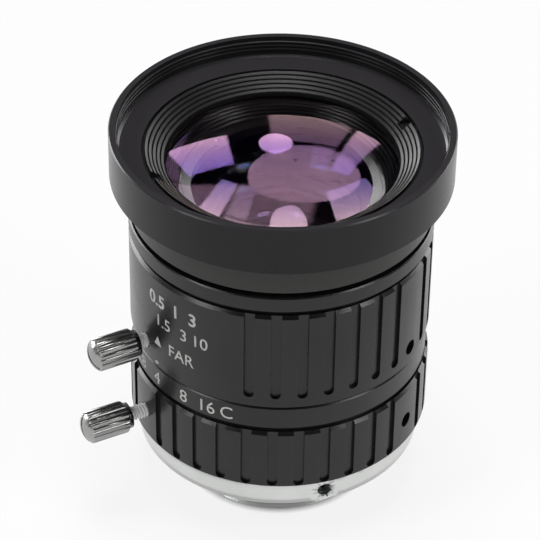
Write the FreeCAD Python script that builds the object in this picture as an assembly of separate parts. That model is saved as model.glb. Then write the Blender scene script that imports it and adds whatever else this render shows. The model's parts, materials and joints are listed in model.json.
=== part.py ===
import FreeCAD, Part
import math
import os
from FreeCAD import Vector

# Fixed focal length lens with a C-mount thread, a focus ring, an iris ring and a lock screw on each.
# Sizes are in millimetres. The origin is the centre of the mount's flange face, on the lens axis,
# and +Z points to the subject. Azimuths are in degrees from -Y, positive towards +X.
# The radii grow outwards from the mount thread, wall by wall, and the heights upwards from the flange.

# Gaps: turning faces, fixed faces, and the parting lines between the rings
running_gap = 0.05
fitted_gap = 0.02
parting_gap = 0.15

# Screw mount at the camera end
mount_thread_r = 12.7
mount_thread_length = 4.0
mount_lead_in = 0.4
mount_tube_wall = 1.7
flange_width = 2.3
flange_step = 2.6
barrel_seat_floor = 0.7
barrel_seat_depth = 3.0
mount_ring_wall = 2.9
mount_ring_flare = 0.45
set_screw_azimuth = 19.0
set_screw_rise = 1.3
set_screw_recess = 0.55
light_path_r = mount_thread_r - mount_tube_wall
flange_r = mount_thread_r + flange_width
barrel_seat_z = flange_step + barrel_seat_floor
mount_ring_top = barrel_seat_z + barrel_seat_depth
set_screw_z = barrel_seat_z + set_screw_rise

# Rear lens cell, which fits through the mount, and the chamber that holds it
rear_cell_clearance = 0.4
rear_cell_wall = 1.0
rear_cell_shoulder = 2.0
rear_cell_tube_step = 1.3
rear_cell_foot_z = 0.8
rear_lip_width = 1.0
rear_lip_height = 0.7
rear_cell_tail_r = light_path_r - rear_cell_clearance
rear_bore_r = rear_cell_tail_r - rear_cell_wall
rear_lip_r = rear_bore_r - rear_lip_width
chamber_r = rear_cell_tail_r + rear_cell_shoulder
rear_cell_tube_r = chamber_r - rear_cell_tube_step

# Fixed barrel that the rings turn on, around the sliding inner barrel
inner_barrel_wall = 0.7
inner_barrel_clearance = 0.1
guide_wall = 1.5
journal_step = 1.0
collar_width = 1.5
collar_height = 2.2
inner_barrel_r = chamber_r + inner_barrel_wall
barrel_bore_r = inner_barrel_r + inner_barrel_clearance
guide_r = barrel_bore_r + guide_wall
journal_r = guide_r + journal_step
collar_r = journal_r + collar_width
mount_ring_low_r = journal_r + mount_ring_wall
mount_ring_high_r = mount_ring_low_r + mount_ring_flare

# Sleeve of the front barrel, which runs between the fixed barrel and the focus ring
sleeve_wall = 2.55
keeper_height = 1.6
keeper_inset = 0.2
helicoid_r = guide_r + running_gap + sleeve_wall
keeper_r = helicoid_r - keeper_inset

# Grip rings: lands stand between milled grooves, under a deeper turned relief
groove_count = 36
groove_width = 1.35
groove_depth = 0.42
relief_depth = 0.8
land_chamfer = 0.38
edge_chamfer = 0.15

iris_ring_wall = 2.35
iris_band_step = 0.4
iris_grip_height = 9.05
iris_relief_height = 0.55
iris_band_height = 3.3
iris_groove_foot = 0.2
iris_hole_azimuth = 57.9
iris_hole_rise = 3.9
iris_land_r = collar_r + running_gap + iris_ring_wall
iris_band_r = iris_land_r - iris_band_step
iris_bottom = mount_ring_top + parting_gap
iris_hole_z = iris_bottom + iris_hole_rise
iris_land_top = iris_bottom + iris_grip_height
iris_relief_top = iris_land_top + iris_relief_height
iris_top = iris_relief_top + iris_band_height
collar_bottom = iris_top - collar_height

focus_ring_wall = 2.15
focus_flange_step = 0.25
focus_flange_height = 1.25
focus_grip_height = 13.6
focus_relief_height = 0.75
focus_neck_height = 2.2
focus_hole_azimuth = 58.7
focus_hole_rise = 1.6
focus_groove_foot = 0.45
text_pad_groove_count = 9
focus_land_r = helicoid_r + running_gap + focus_ring_wall
focus_flange_r = focus_land_r - focus_flange_step
focus_bottom = iris_top + parting_gap
focus_land_bottom = focus_bottom + focus_flange_height
focus_hole_z = focus_land_bottom + focus_hole_rise
focus_land_top = focus_land_bottom + focus_grip_height
focus_relief_top = focus_land_top + focus_relief_height
focus_top = focus_relief_top + focus_neck_height

# Keeper ring, guide pin and the end of the fixed barrel, inside the focus ring
keeper_rise = 5.5
sleeve_rise = 0.7
guide_pin_r = 1.0
guide_pin_rise = 3.7
guide_pin_azimuth = 140.0
guide_pin_reach = 1.3
guide_pin_cover = 3.6
keeper_z = focus_bottom + keeper_rise
sleeve_foot_z = keeper_z + keeper_height + sleeve_rise
guide_pin_z = sleeve_foot_z + guide_pin_rise
guide_top_z = guide_pin_z + guide_pin_cover

# Front barrel, which the focus ring drives out along the axis
focus_travel = 2.4
front_gap = 0.6
skirt_width = 2.0
skirt_height = 4.88
cell_wall = 0.9
retainer_shoulder = 1.25
front_floor_width = 3.25
rim_wall = 0.9
rim_height = 6.57
filter_depth = 2.7
front_floor_depth = 3.0
floor_edge_width = 0.4
web_rise = 0.35
web_height = 1.4
web_bore_clearance = 0.3
skirt_r = helicoid_r + skirt_width
cell_bore_r = helicoid_r - cell_wall
retainer_r = cell_bore_r + retainer_shoulder
filter_minor_r = retainer_r + front_floor_width
floor_edge_r = filter_minor_r - floor_edge_width
rim_r = filter_minor_r + rim_wall
web_bore_r = inner_barrel_r + web_bore_clearance
skirt_bottom = focus_top + front_gap
rim_bottom = skirt_bottom + skirt_height
rim_top = rim_bottom + rim_height
floor_z = rim_top - front_floor_depth
web_top = skirt_bottom + web_rise

# Ridged retaining ring in front of the glass
retainer_overlap = 1.75
retainer_groove_width = 0.45
retainer_groove_depth = 0.5
retainer_cone_drop = 1.8
retainer_ridge_count = 5
retainer_ridge_depth = 0.4
ridge_land_share = 0.6
notch_azimuth = 112.0
notch_width = 1.6
notch_length = 1.7
notch_depth = 1.1
retainer_opening_r = cell_bore_r - retainer_overlap

# Front glass and the ridged baffle behind it. A dish is the curve radius of a face that is hollow.
front_glass_curve = 60.0
front_glass_edge = 2.0
front_glass_dish = 150.0
front_glass_flat = 2.0
baffle_height = 2.1
baffle_top_width = 1.4
baffle_foot_width = 4.2
baffle_ridge_count = 6
baffle_ridge_depth = 0.25
inner_flange_height = 1.3
baffle_top_r = cell_bore_r - baffle_top_width
baffle_foot_r = cell_bore_r - baffle_foot_width
front_glass_dish_r = cell_bore_r - front_glass_flat
inner_flange_top = web_top + inner_flange_height
baffle_top = inner_flange_top + baffle_height
glass_edge_top = baffle_top + front_glass_edge

# Iris drive: a screw in the iris ring reaches through the fixed barrel to the cam ring
drive_screw_r = 0.8
drive_screw_drop = 1.5
drive_screw_azimuth = 118.0
cam_skirt_wall = 0.9
cam_skirt_margin = 0.8
cam_plate_rise = 3.3
cam_plate_height = 0.8
iris_open_turn = 24.0
iris_closed_turn = -34.0
cam_ring_r = chamber_r - 2 * running_gap
drive_screw_tip_r = cam_ring_r - cam_skirt_wall - 2 * running_gap
drive_screw_z = iris_land_top - drive_screw_drop
cam_foot_z = drive_screw_z - drive_screw_r - focus_travel - cam_skirt_margin
cam_plate_z = drive_screw_z + cam_plate_rise
cam_plate_top = cam_plate_z + cam_plate_height

# Iris blades: each has a pivot pin in the fixed plate and a drive pin in a curved slot of the cam ring
blade_count = 5
iris_open_r = 6.3
blade_width = 2.7
blade_span = 135.0
blade_thickness = 0.15
blade_pitch = 0.3
blade_pivot_inset = 2.4
blade_head_r = 0.8
blade_swing = 36.0
pivot_pin_r = 0.4
drive_pin_r = 0.35
pin_reach = 0.6
drive_pin_offset = 1.5
drive_pin_open_angle = -60.0
cam_slot_points = 16
cam_slot_overrun = 0.5
iris_plate_height = 1.0
iris_tube_wall = 1.2
iris_tube_height = 3.1
blade_pivot_r = chamber_r - blade_pivot_inset
blade_stack_z = cam_plate_top + blade_pitch / 2
iris_plate_z = blade_stack_z + blade_count * blade_pitch + blade_pitch / 2

# Inner barrel with the second and third lens elements
inner_foot_clearance = 0.4
lens_bore_wall = 1.3
lens_web_width = 2.0
lens_web_height = 1.0
inner_retainer_height = 1.1
inner_retainer_width = 1.1
second_glass_centre = 1.1
second_front_dish = 60.0
second_rear_dish = 32.0
second_glass_flat = 2.4
lens_spacer_height = 3.4
lens_spacer_width = 1.3
third_front_curve = 38.0
third_rear_curve = 46.0
inner_barrel_foot_z = barrel_seat_z + inner_foot_clearance
lens_bore_r = inner_barrel_r - lens_bore_wall
lens_web_r = lens_bore_r - lens_web_width
lens_web_z = iris_plate_z + iris_plate_height + iris_tube_height
inner_retainer_r = lens_bore_r - inner_retainer_width
second_clear_r = lens_bore_r - second_glass_flat
lens_spacer_r = lens_bore_r - lens_spacer_width

# Lens elements in the rear cell. The fourth and fifth are cemented together.
rear_cell_top_gap = 0.7
rear_cell_shoulder_gap = 0.1
fourth_glass_centre = 0.9
fourth_front_dish = 30.0
cement_curve = 32.0
fifth_glass_edge = 2.2
fifth_rear_curve = 26.0
rear_air_gap = 0.35
rear_spacer_width = 0.9
sixth_glass_edge = 2.2
sixth_front_curve = 40.0
sixth_rear_curve = 60.0
rear_retainer_height = 1.6
rear_retainer_width = 1.2
rear_cell_top_z = cam_plate_z - rear_cell_top_gap
rear_cell_shoulder_z = cam_foot_z - rear_cell_shoulder_gap
rear_spacer_r = rear_bore_r - rear_spacer_width
rear_retainer_r = rear_bore_r - rear_retainer_width

# Lock screws: threaded shank, collar, and straight-knurled head with a slotted dome
lock_shank_r = 1.0
lock_collar_r = 1.75
lock_collar_length = 0.4
lock_head_r = 2.15
lock_head_length = 5.75
lock_dome_height = 0.55
lock_chamfer = 0.4
knurl_count = 20
knurl_depth = 0.2
slot_width = 0.4
slot_depth = 0.75
focus_head_stand = 1.7
iris_head_stand = 2.85
focus_slot_turn = -34.5
iris_slot_turn = -61.5

# How far a cutter runs past the face that it cuts, and the shortest line that an outline keeps
overcut = 1.0
shortest_line = 1e-6


def sag(curve, r):
    """Height of a spherical face at radius r, below its vertex."""
    depth = abs(curve) - math.sqrt(curve * curve - r * r)
    return math.copysign(depth, curve)


# Lens stacks. A hollow glass gets its edge from its centre and the depth of its faces.
lens_r = lens_bore_r - fitted_gap
second_glass_edge = (second_glass_centre + sag(second_front_dish, inner_retainer_r)
                     + sag(second_rear_dish, second_clear_r))
second_top = inner_flange_top - inner_retainer_height
second_foot = second_top - second_glass_edge
third_top = second_foot - lens_spacer_height
third_foot = lens_web_z + lens_web_height

rear_lens_r = rear_bore_r - fitted_gap
fourth_glass_edge = (fourth_glass_centre + sag(fourth_front_dish, rear_lip_r)
                     + sag(cement_curve, rear_lens_r))
fourth_top = rear_cell_top_z - rear_lip_height
fourth_foot = fourth_top - fourth_glass_edge
fifth_foot = fourth_foot - fifth_glass_edge
rear_spacer_height = (rear_air_gap + sag(fifth_rear_curve, rear_spacer_r)
                      + sag(sixth_front_curve, rear_spacer_r))
sixth_top = fifth_foot - rear_spacer_height
sixth_foot = sixth_top - sixth_glass_edge

origin = Vector(0, 0, 0)
lens_axis = Vector(0, 0, 1)


def turned(outline):
    """Solid of revolution about the lens axis from (radius, height) points."""
    points = [Vector(r, 0, z) for r, z in outline]
    face = Part.Face(Part.makePolygon(points + points[:1]))
    return face.revolve(origin, lens_axis, 360)


def ring(outer_r, inner_r, low, high):
    return turned([(inner_r, low), (outer_r, low), (outer_r, high), (inner_r, high)])


def outward(azimuth):
    a = math.radians(azimuth)
    return Vector(math.sin(a), -math.cos(a), 0)


def radial_rod(radius, r_from, r_to, z, azimuth):
    """Cylinder that points straight out from the lens axis."""
    way = outward(azimuth)
    return Part.makeCylinder(radius, r_to - r_from, way * r_from + Vector(0, 0, z), way)


def radial_block(width, r_from, r_to, low, high, azimuth):
    """Block that points straight out from the lens axis, centred on its azimuth."""
    block = Part.makeBox(width, r_to - r_from, high - low, Vector(-width / 2, -r_to, low))
    block.rotate(origin, lens_axis, azimuth)
    return block


def arc_window(r_from, r_to, low, high, first_azimuth, last_azimuth):
    """Square-ended window through a wall around the axis."""
    corners = [(r_from, low), (r_to, low), (r_to, high), (r_from, high)]
    points = [outward(first_azimuth) * r + Vector(0, 0, z) for r, z in corners]
    face = Part.Face(Part.makePolygon(points + points[:1]))
    return face.revolve(origin, lens_axis, last_azimuth - first_azimuth)


def arc_slot(r_from, r_to, z, height, first_azimuth, last_azimuth):
    """Slot through a wall around the axis, with rounded ends."""
    ends = [radial_rod(height / 2, r_from, r_to, z, a) for a in (first_azimuth, last_azimuth)]
    return arc_window(r_from, r_to, z - height / 2, z + height / 2, first_azimuth, last_azimuth).fuse(ends)


def glass(edge_r, low, high, front_curve, rear_curve, front_clear_r=None, rear_clear_r=None):
    """Lens element between two edge heights, with flats outside the clear radii."""
    front_r = front_clear_r or edge_r
    rear_r = rear_clear_r or edge_r

    def face_arc(edge_z, curve, clear_r, up):
        vertex = edge_z + up * sag(curve, clear_r)
        middle = vertex - up * sag(curve, clear_r / 2)
        return Part.Arc(Vector(0, 0, vertex), Vector(clear_r / 2, 0, middle),
                        Vector(clear_r, 0, edge_z)).toShape(), Vector(0, 0, vertex)

    rear_arc, rear_vertex = face_arc(low, rear_curve, rear_r, -1)
    front_arc, front_vertex = face_arc(high, front_curve, front_r, 1)
    corners = [Vector(rear_r, 0, low), Vector(edge_r, 0, low), Vector(edge_r, 0, high),
               Vector(front_r, 0, high)]
    edges = [rear_arc, front_arc, Part.makeLine(rear_vertex, front_vertex)]
    for start, end in zip(corners, corners[1:]):
        if start.distanceToPoint(end) > shortest_line:
            edges.append(Part.makeLine(start, end))
    wire = Part.Wire(Part.__sortEdges__(edges))
    return Part.Face(wire).revolve(origin, lens_axis, 360)


def ridged_cone(top_r, top_z, foot_r, foot_z, count, depth):
    """Points down a cone that sharp grooves cut into rings, from the top to the foot."""
    run = (top_r - foot_r) / count
    drop = (top_z - foot_z) / count
    groove_start = ridge_land_share
    groove_middle = (1 + ridge_land_share) / 2
    points = []
    for i in range(count):
        points.append((top_r - i * run, top_z - i * drop))
        points.append((top_r - (i + groove_start) * run, top_z - (i + groove_start) * drop))
        points.append((top_r - (i + groove_middle) * run, top_z - (i + groove_middle) * drop - depth))
    points.append((foot_r, foot_z))
    return points


def groove_azimuths(hole_azimuth, bare):
    """Azimuths of the grooves. The three screw holes stand on lands where a groove is left out."""
    pitch = 360.0 / groove_count
    third = groove_count // 3
    left_out = {0, third} | {(2 * third + k) % groove_count for k in range(-bare, bare + 1)}
    return [hole_azimuth + k * pitch for k in range(groove_count) if k not in left_out]


def grooved(body, land_r, low, high, azimuths):
    """Mill grip grooves with a rounded foot into a turned ring, up into its relief."""
    cutters = []
    foot = low + groove_width / 2
    for azimuth in azimuths:
        floor_r = land_r - groove_depth
        cutters.append(radial_block(groove_width, floor_r, land_r + overcut, foot, high, azimuth))
        cutters.append(radial_rod(groove_width / 2, floor_r, land_r + overcut, foot, azimuth))
    return body.cut(Part.makeCompound(cutters))


def hole_azimuths(first):
    return [first, first + 120.0, first + 240.0]


def bored(body, radius, r_from, r_to, z, azimuths):
    """Drill straight holes through a ring's wall."""
    return body.cut([radial_rod(radius, r_from, r_to, z, azimuth) for azimuth in azimuths])


def mount_ring():
    """Bright ring with the camera thread, the flange face and three set screw holes."""
    thread_r = mount_thread_r
    seat_r = journal_r + fitted_gap
    body = turned([
        (light_path_r, -mount_thread_length), (thread_r - mount_lead_in, -mount_thread_length),
        (thread_r, mount_lead_in - mount_thread_length), (thread_r, 0), (flange_r, 0),
        (flange_r, flange_step), (mount_ring_low_r - edge_chamfer, flange_step),
        (mount_ring_low_r, flange_step + edge_chamfer), (mount_ring_high_r, mount_ring_top - edge_chamfer),
        (mount_ring_high_r - edge_chamfer, mount_ring_top), (seat_r, mount_ring_top),
        (seat_r, barrel_seat_z), (light_path_r, barrel_seat_z)])
    return bored(body, lock_shank_r, seat_r, mount_ring_high_r + overcut, set_screw_z,
                 hole_azimuths(set_screw_azimuth))


def mount_set_screws():
    """Three socket set screws that clamp the mount ring to the main barrel."""
    screws = []
    outer = mount_ring_low_r - set_screw_recess
    socket = lock_shank_r / 2
    for azimuth in hole_azimuths(set_screw_azimuth):
        screw = radial_rod(lock_shank_r, journal_r + fitted_gap, outer, set_screw_z, azimuth)
        hexagon = [Vector(socket * math.cos(math.radians(60 * k)), -outer - overcut,
                          set_screw_z + socket * math.sin(math.radians(60 * k))) for k in range(6)]
        key = Part.Face(Part.makePolygon(hexagon + hexagon[:1])).extrude(Vector(0, 2 * overcut, 0))
        key.rotate(origin, lens_axis, azimuth)
        screws.append(screw.cut(key))
    return Part.makeCompound(screws)


def main_barrel():
    """Fixed black barrel: seat, journal of the iris ring, collar, focus journal and guide tube."""
    body = turned([
        (barrel_bore_r, barrel_seat_z), (journal_r, barrel_seat_z), (journal_r, collar_bottom),
        (collar_r, collar_bottom), (collar_r, iris_top), (journal_r, iris_top),
        (journal_r, keeper_z), (guide_r, keeper_z), (guide_r, guide_top_z), (barrel_bore_r, guide_top_z)])
    inside = barrel_bore_r - overcut
    slot = arc_slot(inside, journal_r + overcut, drive_screw_z, 2 * (drive_screw_r + running_gap),
                    drive_screw_azimuth + iris_closed_turn, drive_screw_azimuth + iris_open_turn)
    pin_hole = radial_rod(guide_pin_r, inside, guide_r + overcut, guide_pin_z, guide_pin_azimuth)
    return body.cut([slot, pin_hole])


def focus_keeper():
    """Threaded ring that holds the focus ring down on the barrel, with two spanner slots."""
    body = ring(keeper_r, guide_r + fitted_gap, keeper_z, keeper_z + keeper_height)
    slots = [radial_block(notch_width, guide_r + overcut, keeper_r + overcut, keeper_z + keeper_height / 2,
                          keeper_z + keeper_height + overcut, azimuth) for azimuth in (0, 180)]
    return body.cut(slots)


def guide_pin():
    """Pin that keeps the front barrel from turning while the focus ring drives it."""
    return radial_rod(guide_pin_r, barrel_bore_r + fitted_gap, guide_r + guide_pin_reach, guide_pin_z,
                      guide_pin_azimuth)


def iris_ring():
    """Outer iris ring with a plain band for the stop numbers above its grip."""
    bore_r = journal_r + running_gap
    recess_r = collar_r + running_gap
    relief_r = iris_land_r - relief_depth
    body = turned([
        (bore_r, iris_bottom), (iris_land_r - edge_chamfer, iris_bottom),
        (iris_land_r, iris_bottom + edge_chamfer), (iris_land_r, iris_land_top - land_chamfer),
        (iris_land_r - land_chamfer, iris_land_top), (relief_r, iris_land_top), (relief_r, iris_relief_top),
        (iris_band_r - edge_chamfer, iris_relief_top), (iris_band_r, iris_relief_top + edge_chamfer),
        (iris_band_r, iris_top - edge_chamfer), (iris_band_r - edge_chamfer, iris_top),
        (recess_r, iris_top), (recess_r, collar_bottom - running_gap),
        (bore_r, collar_bottom - running_gap)])
    body = grooved(body, iris_land_r, iris_bottom + iris_groove_foot, iris_land_top + iris_relief_height / 2,
                   groove_azimuths(iris_hole_azimuth, 0))
    body = bored(body, lock_shank_r + running_gap, bore_r - overcut, iris_land_r + overcut, iris_hole_z,
                 hole_azimuths(iris_hole_azimuth))
    return bored(body, drive_screw_r, bore_r - overcut, iris_land_r + overcut, drive_screw_z,
                 [drive_screw_azimuth])


def iris_drive_screw():
    """Slotted screw in the iris ring whose long tip turns the iris inside the lens."""
    outer = iris_band_r - set_screw_recess
    screw = radial_rod(drive_screw_r, drive_screw_tip_r, outer, drive_screw_z, drive_screw_azimuth)
    slot = radial_block(slot_width, outer - slot_depth, outer + overcut, drive_screw_z - overcut,
                        drive_screw_z + overcut, drive_screw_azimuth)
    return screw.cut(slot)


def focus_ring():
    """Outer focus ring: plain foot flange, grip with a wide bare land, relief and neck band."""
    bore_r = journal_r + running_gap
    thread_r = helicoid_r + running_gap
    relief_r = focus_land_r - relief_depth
    body = turned([
        (bore_r, focus_bottom), (focus_flange_r - edge_chamfer, focus_bottom),
        (focus_flange_r, focus_bottom + edge_chamfer), (focus_flange_r, focus_land_bottom),
        (focus_land_r, focus_land_bottom + focus_land_r - focus_flange_r),
        (focus_land_r, focus_land_top - land_chamfer), (focus_land_r - land_chamfer, focus_land_top),
        (relief_r, focus_land_top), (relief_r, focus_relief_top),
        (focus_land_r - edge_chamfer, focus_relief_top), (focus_land_r, focus_relief_top + edge_chamfer),
        (focus_land_r, focus_top - edge_chamfer), (focus_land_r - edge_chamfer, focus_top),
        (thread_r, focus_top), (thread_r, keeper_z - edge_chamfer), (bore_r, keeper_z - edge_chamfer)])
    body = grooved(body, focus_land_r, focus_land_bottom + focus_groove_foot,
                   focus_land_top + focus_relief_height / 2,
                   groove_azimuths(focus_hole_azimuth, text_pad_groove_count // 2))
    return bored(body, lock_shank_r + running_gap, bore_r - overcut, focus_land_r + overcut, focus_hole_z,
                 hole_azimuths(focus_hole_azimuth))


def lock_screw(head_r, z, azimuth, slot_turn):
    """Knurled lock screw. The tight one just meets the barrel, and the loose one stands further out."""
    head_z = focus_land_r + focus_head_stand - journal_r - 2 * running_gap
    tip_r = head_r - head_z
    knurl_top = head_z + lock_head_length
    dome_r = lock_head_r - knurl_depth - lock_chamfer / 2
    outline = []
    for k in range(2 * knurl_count):
        r = lock_head_r if k % 2 else lock_head_r - knurl_depth
        a = math.pi * k / knurl_count
        outline.append(Vector(r * math.cos(a), r * math.sin(a), head_z))
    knurl = Part.Face(Part.makePolygon(outline + outline[:1])).extrude(Vector(0, 0, lock_head_length))
    blank = turned([
        (0, head_z), (lock_head_r - lock_chamfer, head_z), (lock_head_r, head_z + lock_chamfer),
        (lock_head_r, knurl_top - lock_chamfer), (lock_head_r - lock_chamfer, knurl_top), (0, knurl_top)])
    ball_r = (dome_r * dome_r + lock_dome_height * lock_dome_height) / (2 * lock_dome_height)
    ball = Part.makeSphere(ball_r, Vector(0, 0, knurl_top + lock_dome_height - ball_r))
    dome = ball.common(Part.makeCylinder(dome_r, lock_dome_height, Vector(0, 0, knurl_top)))
    shank = Part.makeCylinder(lock_shank_r, head_z)
    collar = Part.makeCylinder(lock_collar_r, lock_collar_length, Vector(0, 0, head_z - lock_collar_length))
    slot = Part.makeBox(2 * lock_head_r, slot_width, slot_depth,
                        Vector(-lock_head_r, -slot_width / 2, knurl_top + lock_dome_height - slot_depth))
    slot.rotate(origin, lens_axis, slot_turn)
    screw = knurl.common(blank).fuse([dome, shank, collar]).cut(slot)
    way = outward(azimuth)
    side = Vector(math.cos(math.radians(azimuth)), math.sin(math.radians(azimuth)), 0)
    turn = FreeCAD.Rotation(side, lens_axis, way, "ZXY")
    screw.Placement = FreeCAD.Placement(way * tip_r + Vector(0, 0, z), turn)
    return screw


def front_barrel():
    """Front barrel: hood rim with the filter bore, skirt, web, and the sleeve the focus ring drives."""
    guide_bore_r = guide_r + running_gap
    body = turned([
        (guide_bore_r, sleeve_foot_z), (helicoid_r, sleeve_foot_z), (helicoid_r, skirt_bottom),
        (skirt_r - edge_chamfer, skirt_bottom), (skirt_r, skirt_bottom + edge_chamfer),
        (skirt_r, rim_bottom), (rim_r - edge_chamfer, rim_bottom), (rim_r, rim_bottom + edge_chamfer),
        (rim_r, rim_top - edge_chamfer), (rim_r - edge_chamfer, rim_top),
        (filter_minor_r, rim_top), (filter_minor_r, rim_top - filter_depth), (floor_edge_r, floor_z),
        (retainer_r + fitted_gap, floor_z), (retainer_r + fitted_gap, glass_edge_top),
        (cell_bore_r, glass_edge_top), (cell_bore_r, web_top), (web_bore_r, web_top),
        (web_bore_r, web_top - web_height), (guide_bore_r, web_top - web_height)])
    key_r = guide_r + guide_pin_reach + 2 * running_gap
    key_half = guide_pin_r + running_gap
    key_way = radial_block(2 * key_half, guide_r - overcut, key_r, sleeve_foot_z - overcut, guide_pin_z,
                           guide_pin_azimuth)
    key_end = radial_rod(key_half, guide_r - overcut, key_r, guide_pin_z, guide_pin_azimuth)
    return body.cut([key_way, key_end])


def front_retaining_ring():
    """Black ring with sharp concentric ridges down to the glass and two spanner notches."""
    cone_top_r = retainer_r - retainer_groove_width
    glass_rise = sag(front_glass_curve, cell_bore_r) - sag(front_glass_curve, retainer_opening_r)
    foot_z = glass_edge_top + glass_rise + fitted_gap
    groove_z = floor_z - retainer_groove_depth
    ridges = ridged_cone(cone_top_r, floor_z, retainer_opening_r, floor_z - retainer_cone_drop,
                         retainer_ridge_count, retainer_ridge_depth)
    body = turned([(retainer_opening_r, foot_z), (retainer_r, foot_z), (retainer_r, groove_z),
                   (cone_top_r, groove_z)] + ridges)
    notches = [radial_block(notch_width, retainer_r - notch_length, retainer_r + overcut,
                            floor_z - notch_depth, floor_z + overcut, azimuth)
               for azimuth in (notch_azimuth, notch_azimuth + 180)]
    return body.cut(notches)


def front_element():
    """Coated front meniscus."""
    return glass(cell_bore_r - fitted_gap, baffle_top, glass_edge_top, front_glass_curve,
                 -front_glass_dish, rear_clear_r=front_glass_dish_r)


def ridged_baffle():
    """Spacer behind the front glass, ridged against stray light."""
    outer = cell_bore_r - fitted_gap
    ridges = ridged_cone(baffle_top_r, baffle_top, baffle_foot_r, inner_flange_top, baffle_ridge_count,
                         baffle_ridge_depth)
    return turned([(outer, inner_flange_top), (outer, baffle_top)] + ridges)


def inner_barrel():
    """Sliding inner barrel: flange, front lens bore, web, and the chamber of the iris and rear cell."""
    web_z = lens_web_z + lens_web_height
    body = turned([
        (chamber_r, inner_barrel_foot_z), (inner_barrel_r, inner_barrel_foot_z), (inner_barrel_r, web_top),
        (cell_bore_r - fitted_gap, web_top), (cell_bore_r - fitted_gap, inner_flange_top),
        (lens_bore_r, inner_flange_top), (lens_bore_r, web_z), (lens_web_r, web_z),
        (lens_web_r, lens_web_z), (chamber_r, lens_web_z)])
    height = 2 * (drive_screw_r + running_gap) + focus_travel
    low = drive_screw_z - drive_screw_r - running_gap - focus_travel
    side = math.degrees((drive_screw_r + 2 * running_gap) / inner_barrel_r)
    return body.cut(arc_window(chamber_r - running_gap, inner_barrel_r + overcut, low, low + height,
                               drive_screw_azimuth + iris_closed_turn - side,
                               drive_screw_azimuth + iris_open_turn + side))


def inner_retaining_ring():
    """Threaded ring that holds the front lens stack in the inner barrel."""
    body = ring(lens_r, inner_retainer_r, second_top, inner_flange_top)
    slots = [radial_block(notch_width / 2, inner_retainer_r - overcut, (inner_retainer_r + lens_r) / 2,
                          inner_flange_top - inner_retainer_height / 2, inner_flange_top + overcut, azimuth)
             for azimuth in (45, 225)]
    return body.cut(slots)


def second_element():
    """Second glass, hollow on both faces."""
    return glass(lens_r, second_foot, second_top, -second_front_dish, -second_rear_dish,
                 inner_retainer_r, second_clear_r)


def lens_spacer():
    """Tube between the second and the third glass."""
    return ring(lens_r, lens_spacer_r, third_top, second_foot)


def third_element():
    """Third glass, thick and full on both faces, on the inner barrel's web."""
    return glass(lens_r, third_foot, third_top, third_front_curve, third_rear_curve, lens_spacer_r,
                 lens_web_r)


def polar(r, azimuth, z=0.0):
    a = math.radians(azimuth)
    return Vector(r * math.cos(a), r * math.sin(a), z)


def bar(start, end, radius, height):
    """Flat bar with round ends between two points of one level."""
    run = end - start
    side = Vector(-run.y, run.x, 0).normalize() * radius
    tip = Vector(run).normalize() * radius
    edges = [Part.makeLine(start + side, end + side),
             Part.Arc(end + side, end + tip, end - side).toShape(),
             Part.makeLine(end - side, start - side),
             Part.Arc(start - side, start - tip, start + side).toShape()]
    return Part.Face(Part.Wire(edges)).extrude(Vector(0, 0, height))


def drive_pin_place(turn, z=0.0):
    """Centre of a blade's drive pin when the iris ring stands at the given turn, pivot on +X."""
    swing = blade_swing * (iris_open_turn - turn) / (iris_open_turn - iris_closed_turn)
    return Vector(blade_pivot_r, 0, z) + polar(drive_pin_offset, drive_pin_open_angle + swing)


def iris_blade(index):
    """Thin crescent with a pivot pin on its front face and a drive pin on its rear face."""
    z = blade_stack_z + index * blade_pitch + (blade_pitch - blade_thickness) / 2
    outer = iris_open_r + blade_width
    tail = polar(iris_open_r + blade_width / 2, blade_span)
    rise = Vector(0, 0, blade_thickness)
    start, end = polar(iris_open_r, 0), polar(iris_open_r, blade_span)
    tip = tail + polar(blade_width / 2, blade_span + 90)
    edges = [Part.Arc(start, polar(iris_open_r, blade_span / 2), end).toShape(),
             Part.Arc(end, tip, polar(outer, blade_span)).toShape(),
             Part.Arc(polar(outer, blade_span), polar(outer, blade_span / 2), polar(outer, 0)).toShape(),
             Part.makeLine(polar(outer, 0), start)]
    blade = Part.Face(Part.Wire(edges)).extrude(rise)
    pivot = Vector(blade_pivot_r, 0, 0)
    drive = drive_pin_place(iris_open_turn)
    neck = polar(outer - blade_head_r, math.degrees(blade_head_r / outer))
    head = [bar(pivot, place, blade_head_r, blade_thickness) for place in (neck, drive)]
    blade = blade.fuse(head)
    blade.translate(Vector(0, 0, z))
    drive_foot = cam_plate_top - pin_reach
    pivot_pin = Part.makeCylinder(pivot_pin_r, iris_plate_z + pin_reach - z, pivot + Vector(0, 0, z))
    drive_pin = Part.makeCylinder(drive_pin_r, z + blade_thickness - drive_foot,
                                  drive + Vector(0, 0, drive_foot))
    blade = blade.fuse([pivot_pin, drive_pin]).removeSplitter()
    rest_swing = blade_swing * iris_open_turn / (iris_open_turn - iris_closed_turn)
    blade.rotate(pivot, lens_axis, rest_swing)
    blade.rotate(origin, lens_axis, index * 360.0 / blade_count)
    return blade


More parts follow.
